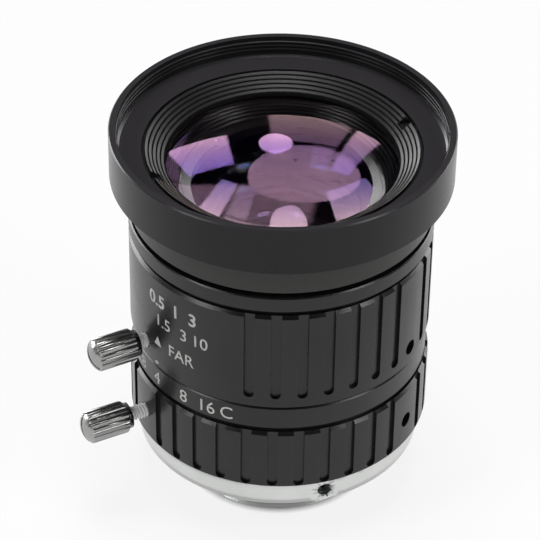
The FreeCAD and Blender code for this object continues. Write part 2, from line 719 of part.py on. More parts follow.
def cam_slot(low, high):
    """Curved slot in the cam ring that a drive pin follows as the ring turns."""
    half = drive_pin_r + running_gap
    first, last = iris_open_turn + cam_slot_overrun, iris_closed_turn - cam_slot_overrun
    centres = []
    for i in range(cam_slot_points + 1):
        turn = first + (last - first) * i / cam_slot_points
        place = drive_pin_place(min(max(turn, iris_closed_turn), iris_open_turn))
        angle = math.radians(-turn)
        centres.append(Vector(place.x * math.cos(angle) - place.y * math.sin(angle),
                              place.x * math.sin(angle) + place.y * math.cos(angle), low))
    left, right = [], []
    for i, centre in enumerate(centres):
        run = centres[min(i + 1, cam_slot_points)] - centres[max(i - 1, 0)]
        side = Vector(-run.y, run.x, 0).normalize() * half
        left.append(centre + side)
        right.append(centre - side)
    left_curve, right_curve = Part.BSplineCurve(), Part.BSplineCurve()
    left_curve.interpolate(left)
    right_curve.interpolate(right)
    end_tip = centres[-1] + (centres[-1] - centres[-2]).normalize() * half
    start_tip = centres[0] + (centres[0] - centres[1]).normalize() * half
    edges = [left_curve.toShape(), Part.Arc(left[-1], end_tip, right[-1]).toShape(),
             right_curve.toShape(), Part.Arc(right[0], start_tip, left[0]).toShape()]
    wire = Part.Wire(Part.__sortEdges__(edges))
    return Part.Face(wire).extrude(Vector(0, 0, high - low))


def iris_cam_ring():
    """Cam ring: five curved slots move the blades, and a slotted skirt takes the drive screw."""
    skirt_r = cam_ring_r - cam_skirt_wall
    opening_r = iris_open_r + running_gap
    body = turned([
        (skirt_r, cam_foot_z), (cam_ring_r, cam_foot_z), (cam_ring_r, cam_plate_top),
        (opening_r, cam_plate_top), (opening_r, cam_plate_z), (skirt_r, cam_plate_z)])
    cutters = []
    for index in range(blade_count):
        slot = cam_slot(cam_plate_z, cam_plate_top + overcut)
        slot.rotate(origin, lens_axis, index * 360.0 / blade_count)
        cutters.append(slot)
    fork_top = drive_screw_z + drive_screw_r + 2 * running_gap
    cutters.append(radial_block(2 * (drive_screw_r + running_gap), skirt_r - overcut, cam_ring_r + overcut,
                                cam_foot_z - overcut, fork_top, drive_screw_azimuth))
    return body.cut(cutters)


def iris_base():
    """Fixed iris plate with a pivot hole for each blade, on a short tube up to the barrel's web."""
    outer = chamber_r - fitted_gap
    body = turned([
        (iris_open_r, iris_plate_z), (outer, iris_plate_z), (outer, lens_web_z),
        (outer - iris_tube_wall, lens_web_z), (outer - iris_tube_wall, iris_plate_z + iris_plate_height),
        (iris_open_r, iris_plate_z + iris_plate_height)])
    holes = [Part.makeCylinder(pivot_pin_r + running_gap, iris_plate_height + 2 * overcut,
                               polar(blade_pivot_r, index * 360.0 / blade_count, iris_plate_z - overcut))
             for index in range(blade_count)]
    return body.cut(holes)


def rear_cell():
    """Rear lens cell, screwed into the foot of the inner barrel."""
    return turned([
        (rear_bore_r, rear_cell_foot_z), (rear_cell_tail_r, rear_cell_foot_z),
        (rear_cell_tail_r, inner_barrel_foot_z), (chamber_r - fitted_gap, inner_barrel_foot_z),
        (chamber_r - fitted_gap, rear_cell_shoulder_z), (rear_cell_tube_r, rear_cell_shoulder_z),
        (rear_cell_tube_r, rear_cell_top_z), (rear_lip_r, rear_cell_top_z), (rear_lip_r, fourth_top),
        (rear_bore_r, fourth_top)])


def fourth_element():
    """Fourth glass, hollow on both faces, against the rear cell's lip."""
    return glass(rear_lens_r, fourth_foot, fourth_top, -fourth_front_dish, -cement_curve, rear_lip_r)


def fifth_element():
    """Fifth glass, full on both faces and cemented into the fourth."""
    return glass(rear_lens_r, fifth_foot, fourth_foot, cement_curve, fifth_rear_curve,
                 rear_clear_r=rear_spacer_r)


def rear_spacer():
    """Ring between the fifth and the sixth glass."""
    return ring(rear_lens_r, rear_spacer_r, sixth_top, fifth_foot)


def sixth_element():
    """Rear glass."""
    return glass(rear_lens_r, sixth_foot, sixth_top, sixth_front_curve, sixth_rear_curve,
                 rear_spacer_r, rear_retainer_r)


def rear_retaining_ring():
    """Threaded ring that holds the rear lens stack, with two spanner slots."""
    foot_z = sixth_foot - rear_retainer_height
    body = ring(rear_lens_r, rear_retainer_r, foot_z, sixth_foot)
    slots = [radial_block(notch_width / 2, rear_retainer_r - overcut, (rear_retainer_r + rear_lens_r) / 2,
                          foot_z - overcut, foot_z + rear_retainer_height / 2, azimuth)
             for azimuth in (0, 180)]
    return body.cut(slots)


nodes = {
    "c_mount_ring": mount_ring(),
    "mount_set_screws": mount_set_screws(),
    "main_barrel": main_barrel(),
    "focus_keeper_ring": focus_keeper(),
    "guide_pin": guide_pin(),
    "iris_ring": iris_ring(),
    "iris_drive_screw": iris_drive_screw(),
    "focus_ring": focus_ring(),
    "focus_lock_screw": lock_screw(focus_land_r + focus_head_stand, focus_hole_z, focus_hole_azimuth - 120,
                                   focus_slot_turn),
    "iris_lock_screw": lock_screw(iris_land_r + iris_head_stand, iris_hole_z, iris_hole_azimuth - 120,
                                  iris_slot_turn),
    "front_barrel": front_barrel(),
    "front_retaining_ring": front_retaining_ring(),
    "front_element": front_element(),
    "ridged_baffle": ridged_baffle(),
    "inner_barrel": inner_barrel(),
    "inner_retaining_ring": inner_retaining_ring(),
    "second_element": second_element(),
    "lens_spacer": lens_spacer(),
    "third_element": third_element(),
    "iris_base": iris_base(),
    "iris_cam_ring": iris_cam_ring(),
    "rear_cell": rear_cell(),
    "fourth_element": fourth_element(),
    "fifth_element": fifth_element(),
    "rear_spacer": rear_spacer(),
    "sixth_element": sixth_element(),
    "rear_retaining_ring": rear_retaining_ring(),
}
for index in range(blade_count):
    nodes["iris_blade_%d" % (index + 1)] = iris_blade(index)

os.makedirs("parts", exist_ok=True)
for name, shape in nodes.items():
    shape.exportStep("parts/%s.step" % name)
    print(name, "solids", len(shape.Solids), "valid", shape.isValid(), "volume", round(shape.Volume, 1))
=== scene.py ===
import bpy
import json
import math
from mathutils import Matrix, Vector

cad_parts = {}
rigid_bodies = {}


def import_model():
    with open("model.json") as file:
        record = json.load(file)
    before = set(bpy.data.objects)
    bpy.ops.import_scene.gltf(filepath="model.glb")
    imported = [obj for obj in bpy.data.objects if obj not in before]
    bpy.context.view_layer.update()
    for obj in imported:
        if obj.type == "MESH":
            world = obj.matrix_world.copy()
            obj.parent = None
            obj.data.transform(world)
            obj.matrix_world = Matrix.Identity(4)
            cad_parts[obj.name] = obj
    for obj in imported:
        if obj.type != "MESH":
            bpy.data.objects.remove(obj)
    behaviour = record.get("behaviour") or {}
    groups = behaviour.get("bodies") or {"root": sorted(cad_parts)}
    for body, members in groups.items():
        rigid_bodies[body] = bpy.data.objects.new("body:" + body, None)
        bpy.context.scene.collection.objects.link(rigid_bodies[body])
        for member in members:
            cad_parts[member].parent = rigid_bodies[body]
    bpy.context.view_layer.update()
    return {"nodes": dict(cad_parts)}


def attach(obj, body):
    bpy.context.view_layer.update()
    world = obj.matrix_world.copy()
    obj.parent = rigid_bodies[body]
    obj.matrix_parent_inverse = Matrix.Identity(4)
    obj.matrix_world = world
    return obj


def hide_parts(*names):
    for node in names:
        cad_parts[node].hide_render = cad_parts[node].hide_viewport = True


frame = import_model()
nodes = frame["nodes"]
MM = 0.001

# Mount ring and its thread.
# A bright nickel-plated brass ring, turned on a lathe, carries the flange face and the 1 inch thread.
# The thread is cut after the turning, so here the plain thread wall is opened and real ridges take its place.
THREAD_CREST_R = 12.7
THREAD_ROOT_R = 12.25
THREAD_FOOT_R = 12.3
THREAD_FOOT_Z = -4.0
THREAD_PITCH = 25.4 / 32
FIRST_RIDGE_Z = -3.62
RIDGE_COUNT = 4
RELIEF_Z = -0.05
END_MARGIN = 0.01
WALL_MARGIN = 0.05
MERGE_WITHIN = 0.002
SMOOTH_BELOW = 22


def new_material(name, colour, roughness, metallic=0.0):
    """A material with one Principled shader, its plain constants set on the shader's own sockets."""
    made = bpy.data.materials.new(name)
    made.use_nodes = True
    shader = made.node_tree.nodes["Principled BSDF"]
    shader.inputs["Base Color"].default_value = (*colour, 1)
    shader.inputs["Roughness"].default_value = roughness
    shader.inputs["Metallic"].default_value = metallic
    return made, made.node_tree, shader


def new_group(name, values, outputs):
    """An empty shader node group with float inputs at their usual values and float outputs."""
    group = bpy.data.node_groups.new(name, "ShaderNodeTree")
    for label, value in values.items():
        socket = group.interface.new_socket(name=label, in_out="INPUT", socket_type="NodeSocketFloat")
        socket.default_value = value
    for label in outputs:
        group.interface.new_socket(name=label, in_out="OUTPUT", socket_type="NodeSocketFloat")
    return group, group.nodes.new("NodeGroupInput"), group.nodes.new("NodeGroupOutput")


def add_math(tree, operation, first, second=None, clamp=False):
    """A Math node whose inputs are sockets or numbers. Returns its output."""
    node = tree.nodes.new("ShaderNodeMath")
    node.operation = operation
    node.use_clamp = clamp
    for place, value in enumerate((first, second)):
        if value is None:
            continue
        if isinstance(value, (int, float)):
            node.inputs[place].default_value = value
        else:
            tree.links.new(value, node.inputs[place])
    return node.outputs[0]


def object_place(tree):
    """X, Y and Z of the shaded point, in the piece's own coordinates."""
    split = tree.nodes.new("ShaderNodeSeparateXYZ")
    tree.links.new(tree.nodes.new("ShaderNodeTexCoord").outputs["Object"], split.inputs[0])
    return split.outputs["X"], split.outputs["Y"], split.outputs["Z"]


def diagonal(tree, first, second):
    """Length of the diagonal of two sides, such as a distance from an axis."""
    squares = [add_math(tree, "MULTIPLY", side, side) for side in (first, second)]
    return add_math(tree, "SQRT", add_math(tree, "ADD", *squares))


def build_turning_marks():
    """Fine lines that a lathe leaves around the lens axis, on walls and on faces."""
    group, given, result = new_group("turning marks", {"Lines per mm": 12.0, "Waviness": 0.15}, ["Height"])
    x, y, z = object_place(group)
    azimuth = add_math(group, "ARCTAN2", x, y)
    lines = add_math(group, "MULTIPLY", given.outputs["Lines per mm"], 1.0 / MM)
    joined = group.nodes.new("ShaderNodeCombineXYZ")
    group.links.new(add_math(group, "MULTIPLY", diagonal(group, x, y), lines), joined.inputs["X"])
    group.links.new(add_math(group, "MULTIPLY", z, lines), joined.inputs["Y"])
    group.links.new(add_math(group, "MULTIPLY", azimuth, given.outputs["Waviness"]), joined.inputs["Z"])
    noise = group.nodes.new("ShaderNodeTexNoise")
    noise.inputs["Scale"].default_value = 1.0
    noise.inputs["Detail"].default_value = 3.0
    group.links.new(joined.outputs[0], noise.inputs["Vector"])
    group.links.new(noise.outputs["Fac"], result.inputs["Height"])
    return group


def add_noise(group, per_mm, detail):
    """Noise on the piece's own coordinates, with so many lumps to a millimetre."""
    noise = group.nodes.new("ShaderNodeTexNoise")
    noise.inputs["Detail"].default_value = detail
    group.links.new(group.nodes.new("ShaderNodeTexCoord").outputs["Object"], noise.inputs["Vector"])
    group.links.new(add_math(group, "MULTIPLY", per_mm, 1.0 / MM), noise.inputs["Scale"])
    return noise.outputs["Fac"]


def build_blasted_grain():
    """Small even grain of a bead-blasted skin, and slow patches where it is handled."""
    group, given, result = new_group(
        "blasted grain", {"Grains per mm": 7.0, "Patch per mm": 0.12}, ["Height", "Patch"])
    group.links.new(add_noise(group, given.outputs["Grains per mm"], 2.0), result.inputs["Height"])
    group.links.new(add_noise(group, given.outputs["Patch per mm"], 4.0), result.inputs["Patch"])
    return group


def build_edge_wear():
    """Mask that is 1 on sharp edges, where the skin is thin or polished by hands."""
    edge_gain = 9.0
    break_floor = 0.25
    break_gain = 2.2
    group, given, result = new_group("edge wear", {"Width mm": 0.12, "Breaks per mm": 1.5}, ["Mask"])
    bevel = group.nodes.new("ShaderNodeBevel")
    bevel.samples = 4
    group.links.new(add_math(group, "MULTIPLY", given.outputs["Width mm"], MM), bevel.inputs["Radius"])
    dot = group.nodes.new("ShaderNodeVectorMath")
    dot.operation = "DOT_PRODUCT"
    group.links.new(bevel.outputs[0], dot.inputs[0])
    group.links.new(group.nodes.new("ShaderNodeNewGeometry").outputs["Normal"], dot.inputs[1])
    turned_away = add_math(group, "SUBTRACT", 1.0, dot.outputs["Value"], clamp=True)
    strong = add_math(group, "MULTIPLY", turned_away, edge_gain, clamp=True)
    noise = add_noise(group, given.outputs["Breaks per mm"], 4.0)
    above_floor = add_math(group, "SUBTRACT", noise, break_floor)
    breaks = add_math(group, "MULTIPLY", above_floor, break_gain, clamp=True)
    group.links.new(add_math(group, "MULTIPLY", strong, breaks), result.inputs["Mask"])
    return group


TURNING_MARKS = build_turning_marks()
BLASTED_GRAIN = build_blasted_grain()
EDGE_WEAR = build_edge_wear()


def place_group(tree, group, **values):
    """A group placed in a material's tree with its own values, named as on the group with _ for spaces."""
    node = tree.nodes.new("ShaderNodeGroup")
    node.node_tree = group
    for label, value in values.items():
        node.inputs[label.replace("_", " ")].default_value = value
    return node


def add_bump(tree, shader, height, depth):
    """Small relief on a shader's normal, its depth in millimetres."""
    bump = tree.nodes.new("ShaderNodeBump")
    bump.inputs["Strength"].default_value = 1.0
    bump.inputs["Distance"].default_value = depth * MM
    tree.links.new(height, bump.inputs["Height"])
    tree.links.new(bump.outputs["Normal"], shader.inputs["Normal"])


def add_ramp(tree, value, low, high, low_colour, high_colour):
    """Colour that goes from one to the other as a value goes from low to high."""
    ramp = tree.nodes.new("ShaderNodeValToRGB")
    ramp.color_ramp.elements[0].position = low
    ramp.color_ramp.elements[0].color = (*low_colour, 1)
    ramp.color_ramp.elements[1].position = high
    ramp.color_ramp.elements[1].color = (*high_colour, 1)
    tree.links.new(value, ramp.inputs["Fac"])
    return ramp.outputs["Color"]


def add_range(tree, value, low, high, to_low, to_high):
    """A value moved from one range to another and clamped to it."""
    node = tree.nodes.new("ShaderNodeMapRange")
    for label, number in (("From Min", low), ("From Max", high), ("To Min", to_low), ("To Max", to_high)):
        node.inputs[label].default_value = number
    tree.links.new(value, node.inputs["Value"])
    return node.outputs["Result"]


def mix_colours(tree, mask, first, second):
    """The second colour over the first one where the mask is 1. Each is a socket or a colour."""
    mix = tree.nodes.new("ShaderNodeMix")
    mix.data_type = "RGBA"
    tree.links.new(mask, mix.inputs["Factor"])
    colour_sockets = [socket for socket in mix.inputs if socket.type == "RGBA"]
    for socket, value in zip(colour_sockets, (first, second)):
        if isinstance(value, tuple):
            socket.default_value = (*value, 1)
        else:
            tree.links.new(value, socket)
    return [socket for socket in mix.outputs if socket.type == "RGBA"][0]


def metal_finish(name, bright, dull, roughness, lines_per_mm=0.0, mark_depth=0.0, worn=None):
    """Metal of an uneven tone, with turning marks and polished edges where it has them."""
    made, tree, shader = new_material(name, bright, roughness, 1.0)
    grain = place_group(tree, BLASTED_GRAIN, Grains_per_mm=5.0)
    colour = add_ramp(tree, grain.outputs["Patch"], 0.35, 0.7, dull, bright)
    if worn:
        wear = place_group(tree, EDGE_WEAR, Width_mm=0.1)
        colour = mix_colours(tree, wear.outputs["Mask"], colour, worn)
    tree.links.new(colour, shader.inputs["Base Color"])
    if lines_per_mm:
        marks = place_group(tree, TURNING_MARKS, Lines_per_mm=lines_per_mm)
        rough = add_range(tree, marks.outputs["Height"], 0.3, 0.7, roughness - 0.06, roughness + 0.08)
        tree.links.new(rough, shader.inputs["Roughness"])
        add_bump(tree, shader, marks.outputs["Height"], mark_depth)
    return made


def coat(piece, finish):
    """Give a piece one finish."""
    piece.data.materials.clear()
    piece.data.materials.append(finish)


def select_only(*pieces):
    """Select these pieces and nothing else, the first of them active."""
    bpy.ops.object.select_all(action="DESELECT")
    for piece in reversed(pieces):
        piece.select_set(True)
        bpy.context.view_layer.objects.active = piece


def apply_place():
    """Move the selected piece's place, turn and scale into its mesh."""
    bpy.ops.object.transform_apply(location=True, rotation=True, scale=True)


def turn_faces_out():
    """Point all faces of the piece in edit mode outwards, and leave edit mode."""
    bpy.ops.mesh.select_all(action="SELECT")
    bpy.ops.mesh.normals_make_consistent(inside=False)
    bpy.ops.object.mode_set(mode="OBJECT")


def copy_of_node(node_name, piece_name):
    """A copy of a CAD node's mesh as a new piece, its loose triangles merged into one skin."""
    select_only(nodes[node_name])
    bpy.ops.object.duplicate()
    piece = bpy.context.object
    piece.name = piece_name
    bpy.ops.object.parent_clear(type="CLEAR_KEEP_TRANSFORM")
    apply_place()
    bpy.ops.object.mode_set(mode="EDIT")
    bpy.ops.mesh.select_all(action="SELECT")
    bpy.ops.mesh.remove_doubles(threshold=MERGE_WITHIN * MM)
    bpy.ops.object.mode_set(mode="OBJECT")
    bpy.ops.object.shade_smooth_by_angle(angle=math.radians(SMOOTH_BELOW))
    return piece


def delete_faces(piece, is_unwanted):
    """Delete the faces whose middle is unwanted, and leave the open rims selected in edit mode."""
    bpy.ops.object.mode_set(mode="EDIT")
    bpy.ops.mesh.select_mode(type="FACE")
    bpy.ops.mesh.select_all(action="DESELECT")
    bpy.ops.object.mode_set(mode="OBJECT")
    for face in piece.data.polygons:
        face.select = is_unwanted(face.center)
    bpy.ops.object.mode_set(mode="EDIT")
    bpy.ops.mesh.delete(type="FACE")
    bpy.ops.mesh.select_mode(type="EDGE")
    bpy.ops.mesh.select_non_manifold()


def on_thread_wall(middle):
    """Whether a point is on the plain wall that stands for the mount thread."""
    radius = math.hypot(middle.x, middle.y)
    return ((THREAD_FOOT_Z + END_MARGIN) * MM < middle.z < -END_MARGIN * MM
            and (THREAD_ROOT_R - WALL_MARGIN) * MM < radius < (THREAD_CREST_R + WALL_MARGIN) * MM)


satin_silver = metal_finish("satin silver plate", (0.70, 0.71, 0.70), (0.62, 0.63, 0.62), 0.34, 9.0, 0.003,
                            worn=(0.8, 0.8, 0.79))
threaded_mount = copy_of_node("c_mount_ring", "threaded_mount_ring")
delete_faces(threaded_mount, on_thread_wall)
bpy.ops.object.mode_set(mode="OBJECT")
for edge in threaded_mount.data.edges:
    top = max(threaded_mount.data.vertices[end].co.z for end in edge.vertices)
    edge.select = edge.select and top < (THREAD_FOOT_Z + THREAD_PITCH) * MM
for vertex in threaded_mount.data.vertices:
    vertex.select = False
bpy.ops.object.mode_set(mode="EDIT")
ridge_points = [(THREAD_CREST_R, FIRST_RIDGE_Z)]
for ridge in range(RIDGE_COUNT):
    ridge_points.append((THREAD_ROOT_R, FIRST_RIDGE_Z + (ridge + 0.5) * THREAD_PITCH))
    ridge_points.append((THREAD_CREST_R, FIRST_RIDGE_Z + (ridge + 1) * THREAD_PITCH))
ridge_points[-1] = (THREAD_ROOT_R, RELIEF_Z)
last_r, last_z = THREAD_FOOT_R, THREAD_FOOT_Z
for next_r, next_z in ridge_points:
    bpy.ops.mesh.extrude_edges_move(TRANSFORM_OT_translate={"value": (0, 0, (next_z - last_z) * MM)})
    bpy.ops.transform.resize(value=(next_r / last_r, next_r / last_r, 1), center_override=(0, 0, next_z * MM))
    last_r, last_z = next_r, next_z
bpy.ops.mesh.select_all(action="DESELECT")
bpy.ops.mesh.select_non_manifold()
bpy.ops.mesh.bridge_edge_loops()
turn_faces_out()
coat(threaded_mount, satin_silver)
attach(threaded_mount, "fixed_body")
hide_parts("c_mount_ring")

# Set screws of the mount ring.
# Three black-oxide steel socket screws, driven in flush from the side to clamp the ring to the barrel.
black_steel = metal_finish("black oxide steel", (0.06, 0.06, 0.065), (0.035, 0.035, 0.04), 0.38, 14.0, 0.003,
                           worn=(0.35, 0.35, 0.36))
coat(nodes["mount_set_screws"], black_steel)

# Fixed barrel, keeper ring and guide pin.
# The barrel is black anodised aluminium that both rings turn on. The keeper ring screws onto its end, and a
# ground steel pin stops the front barrel from turning.


def anodised_finish(name, colour, handled, roughness, edge_colour, index, grain_depth=0.006):
    """Black anodised aluminium: bead-blasted grain, slow handled patches and thin bright edges."""
    made, tree, shader = new_material(name, colour, roughness)
    shader.inputs["IOR"].default_value = index
    grain = place_group(tree, BLASTED_GRAIN)
    wear = place_group(tree, EDGE_WEAR, Width_mm=0.1)
    skin = add_ramp(tree, grain.outputs["Patch"], 0.35, 0.7, colour, handled)
    tree.links.new(mix_colours(tree, wear.outputs["Mask"], skin, edge_colour), shader.inputs["Base Color"])
    rough = add_range(tree, grain.outputs["Patch"], 0.3, 0.75, roughness + 0.05, roughness - 0.06)
    tree.links.new(rough, shader.inputs["Roughness"])
    add_bump(tree, shader, grain.outputs["Height"], grain_depth)
    return made


black_anodised = anodised_finish("black anodised aluminium", (0.005, 0.005, 0.0052), (0.008, 0.0078, 0.0078),
                                 0.27, (0.03, 0.03, 0.032), 1.42)
matte_black = anodised_finish("matte black inside", (0.004, 0.004, 0.0045), (0.007, 0.007, 0.0075), 0.42,
                              (0.012, 0.012, 0.013), 1.45)
bright_steel = metal_finish("ground steel", (0.62, 0.62, 0.63), (0.5, 0.5, 0.51), 0.25, 14.0, 0.002)
coat(nodes["main_barrel"], black_anodised)
coat(nodes["focus_keeper_ring"], black_anodised)
coat(nodes["guide_pin"], bright_steel)

# Iris ring and its drive screw.
# Turned and milled aluminium, black anodised after the grooves are cut. The slotted screw is sunk in it.
coat(nodes["iris_ring"], black_anodised)
coat(nodes["iris_drive_screw"], black_steel)

# Focus ring.
# Turned and milled like the iris ring, with a wide land left bare of grooves for its marks.
coat(nodes["focus_ring"], black_anodised)

# Lock screws.
# Nickel-plated brass thumb screws: a straight-knurled head with a domed, slotted end, and an M2 thread.
# Painted shade darkens the slot, the valleys between the ridges and the thread, wherever ambient occlusion
# finds faces close by.
LOCK_CORE_R = 0.8
LOCK_CREST_R = 1.0
LOCK_PITCH = 0.4
LOCK_THREAD_LENGTH = 5.0
LOCK_STEPS = 28
SHANK_MARGIN = 0.02
FOCUS_LOCK_AZIMUTH = 58.7 - 120
FOCUS_LOCK_Z = 22.35
FOCUS_LOCK_COLLAR_R = 21.0
IRIS_LOCK_AZIMUTH = 57.9 - 120
IRIS_LOCK_Z = 10.35
IRIS_LOCK_COLLAR_R = 22.25
RECESS_SHADE_REACH = 0.6


def paint_over(finish, mask, colour):
    """Another colour over a finish's own, where the mask is 1."""
    tree = finish.node_tree
    base = tree.nodes["Principled BSDF"].inputs["Base Color"]
    tree.links.new(mix_colours(tree, mask, base.links[0].from_socket, colour), base)


def helical_ridge(name, root_r, crest_r, pitch, low, high, steps):
    """A sharp ridge wound around the Z axis between two heights, in millimetres, with its ends closed."""
    half_foot = 0.46 * pitch
    select_only()
    bpy.ops.mesh.primitive_circle_add(vertices=3, radius=MM, location=(0, 0, 0))
    ridge = bpy.context.object
    ridge.name = name
    corners = [(root_r, -half_foot), (crest_r, 0.0), (root_r, half_foot)]
    for vertex, (r, z) in zip(ridge.data.vertices, corners):
        vertex.co = (r * MM, 0, (low + 0.5 * pitch + z) * MM)
    wind = ridge.modifiers.new("wind", "SCREW")
    wind.axis = "Z"
    wind.angle = math.tau
    wind.screw_offset = pitch * MM
    wind.iterations = int((high - low) / pitch - 1)
    wind.steps = steps
    wind.render_steps = steps
    bpy.ops.object.modifier_apply(modifier="wind")
    bpy.ops.object.mode_set(mode="EDIT")
    bpy.ops.mesh.select_all(action="SELECT")
    bpy.ops.mesh.fill_holes(sides=3)
    turn_faces_out()
    return ridge


def lock_thread(name):
    """The M2 thread of a lock screw along the Z axis: a core with a ridge around it."""
    sunk = 0.03
    overlap = 0.1
    ridge = helical_ridge(name, LOCK_CORE_R - sunk, LOCK_CREST_R, LOCK_PITCH, overlap, LOCK_THREAD_LENGTH,
                          LOCK_STEPS)
    core_length = LOCK_THREAD_LENGTH + overlap
    select_only()
    bpy.ops.mesh.primitive_cylinder_add(vertices=LOCK_STEPS, radius=LOCK_CORE_R * MM, depth=core_length * MM,
                                        location=(0, 0, core_length / 2 * MM))
    select_only(ridge, bpy.context.object)
    bpy.ops.object.join()
    return ridge


def threaded_lock_screw(node_name, piece_name, azimuth, height, collar_r, body):
    """A lock screw whose plain shank is taken off and wound anew with its thread, in millimetres."""
    angle = math.radians(azimuth)
    way = Vector((math.sin(angle), -math.cos(angle), 0))
    start = Vector((0, 0, height * MM))
    head = copy_of_node(node_name, piece_name)

    def on_shank(middle):
        from_start = middle - start
        along = from_start.dot(way)
        from_screw_axis = (from_start - way * along).length
        return along < (collar_r - END_MARGIN) * MM and from_screw_axis < (LOCK_CREST_R + SHANK_MARGIN) * MM

    delete_faces(head, on_shank)
    bpy.ops.mesh.edge_face_add()
    turn_faces_out()
    thread = lock_thread(piece_name + "_thread")
    turn = Vector((0, 0, 1)).rotation_difference(way).to_matrix().to_4x4()
    tip = start + way * (collar_r - LOCK_THREAD_LENGTH) * MM
    thread.matrix_world = Matrix.Translation(tip) @ turn
    apply_place()
    thread.data.materials.clear()
    coat(head, nickel_plate)
    select_only(head, thread)
    bpy.ops.object.join()
    select_only()
    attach(head, body)
    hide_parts(node_name)


nickel_plate = metal_finish("nickel plate", (0.42, 0.425, 0.42), (0.33, 0.33, 0.325), 0.24,
                            worn=(0.66, 0.66, 0.65))
# Painted shade: the base colour turns near black where ambient occlusion finds faces within reach, in the
# slot, between the knurl ridges and in the thread.
recess_occlusion = nickel_plate.node_tree.nodes.new("ShaderNodeAmbientOcclusion")
recess_occlusion.only_local = True
recess_occlusion.samples = 8
recess_occlusion.inputs["Distance"].default_value = RECESS_SHADE_REACH * MM
recess_shade = add_range(nickel_plate.node_tree, recess_occlusion.outputs["AO"], 0.45, 0.85, 1.0, 0.0)
paint_over(nickel_plate, recess_shade, (0.02, 0.02, 0.02))
threaded_lock_screw("focus_lock_screw", "threaded_focus_lock_screw", FOCUS_LOCK_AZIMUTH, FOCUS_LOCK_Z,
                    FOCUS_LOCK_COLLAR_R, "focus_lock")
threaded_lock_screw("iris_lock_screw", "threaded_iris_lock_screw", IRIS_LOCK_AZIMUTH, IRIS_LOCK_Z,
                    IRIS_LOCK_COLLAR_R, "iris_lock")

# Marks.
# White paint, printed on both rings after the anodising: stop numbers around the iris band, and the focus
# ring's distances, its arrow and its far end, on the land left bare of grooves.
PAINT_DEPTH = 0.03
PAINT_LIFT = 0.002
STRIP_WIDTH = 0.5
LETTER_MERGE_WITHIN = 0.0005
IRIS_BAND_R = 19.4
IRIS_BAND_Z = 17.65
STOP_SIZE = 2.7
STOPS = {"1.6": -93.0, "2": -81.0, "2.8": -68.0, "4": -54.4, "8": -39.2, "16": -28.0, "C": -20.1}
FOCUS_LAND_R = 19.7
UPPER_ROW_Z = 31.0
UPPER_ROW_SIZE = 2.7
UPPER_ROW_WEIGHT = 0.055
UPPER_ROW = {"0.5": -52.5, "1": -42.0, "3": -34.0}
LOWER_ROW_Z = 27.9
LOWER_ROW_SIZE = 2.5
LOWER_ROW_WEIGHT = 0.015
LOWER_ROW = {"1.5": -48.5, "3": -38.2, "10": -30.2}
FAR_SIZE = 2.5
FAR_WEIGHT = 0.012
FAR_AZIMUTH = -39.5
FAR_Z = 24.2
ARROW_WIDTH = 1.7
ARROW_HEIGHT = 1.9
ARROW_AZIMUTH = -52.2
ARROW_Z = 24.3
INDEX_WIDTH = 0.9
INDEX_HEIGHT = 0.5
INDEX_AZIMUTH = -53.0
INDEX_Z = 20.6
mark_paint, tree, shader = new_material("white marking paint", (0.47, 0.47, 0.455), 0.55)
grain = place_group(tree, BLASTED_GRAIN, Grains_per_mm=9.0)
tree.links.new(add_ramp(tree, grain.outputs["Height"], 0.3, 0.6, (0.33, 0.33, 0.32), (0.52, 0.52, 0.505)),
               shader.inputs["Base Color"])


def wrap_mark(mark, azimuth, height, wall_r):
    """A flat mark in the XY plane is stood up, cut into narrow strips, laid around the wall and thickened."""
    select_only(mark)
    mark.matrix_world = Matrix.Translation((0, -wall_r * MM, 0)) @ Matrix.Rotation(math.pi / 2, 4, "X")
    apply_place()
    across = [vertex.co.x for vertex in mark.data.vertices]
    upward = [vertex.co.z for vertex in mark.data.vertices]
    middle_x = (min(across) + max(across)) / 2
    middle_z = (min(upward) + max(upward)) / 2
    bpy.ops.object.mode_set(mode="EDIT")
    bpy.ops.mesh.select_all(action="SELECT")
    bpy.ops.mesh.remove_doubles(threshold=LETTER_MERGE_WITHIN * MM)
    bpy.ops.transform.translate(value=(-middle_x, 0, height * MM - middle_z))
    half_width = (max(across) - min(across)) / 2
    strips = max(1, int(2 * half_width / (STRIP_WIDTH * MM)))
    for strip in range(1, strips):
        bpy.ops.mesh.select_all(action="SELECT")
        bpy.ops.mesh.bisect(plane_co=(half_width * (2 * strip / strips - 1), 0, 0), plane_no=(1, 0, 0))
    bpy.ops.object.mode_set(mode="OBJECT")
    lay = mark.modifiers.new("lay", "CAST")
    lay.cast_type = "CYLINDER"
    lay.factor = 1.0
    lay.size = (wall_r + PAINT_LIFT) * MM
    lay.use_radius_as_size = False
    lay.use_z = False
    bpy.ops.object.modifier_apply(modifier="lay")
    thicken = mark.modifiers.new("thicken", "SOLIDIFY")
    thicken.thickness = PAINT_DEPTH * MM
    thicken.offset = 0.0
    bpy.ops.object.modifier_apply(modifier="thicken")
    bpy.ops.object.mode_set(mode="EDIT")
    turn_faces_out()
    mark.matrix_world = Matrix.Rotation(math.radians(azimuth), 4, "Z")
    apply_place()
    return mark


def written_mark(words, size, azimuth, height, wall_r, weight=0.0):
    """Letters or numbers painted on a ring, their middle at an azimuth and a height, in millimetres."""
    select_only()
    bpy.ops.object.text_add(location=(0, 0, 0))
    mark = bpy.context.object
    mark.data.body = words
    mark.data.size = size * MM
    mark.data.offset = weight * MM
    mark.data.resolution_u = 5
    bpy.ops.object.convert(target="MESH")
    return wrap_mark(bpy.context.object, azimuth, height, wall_r)


def shaped_mark(corners, width, tall, azimuth, height, wall_r):
    """A painted triangle or dot: a filled circle of few corners, point up and scaled."""
    select_only()
    bpy.ops.mesh.primitive_circle_add(vertices=corners, radius=0.5, fill_type="NGON", location=(0, 0, 0))
    mark = bpy.context.object
    mark.scale = (width * MM, tall * MM, 1)
    apply_place()
    return wrap_mark(mark, azimuth, height, wall_r)


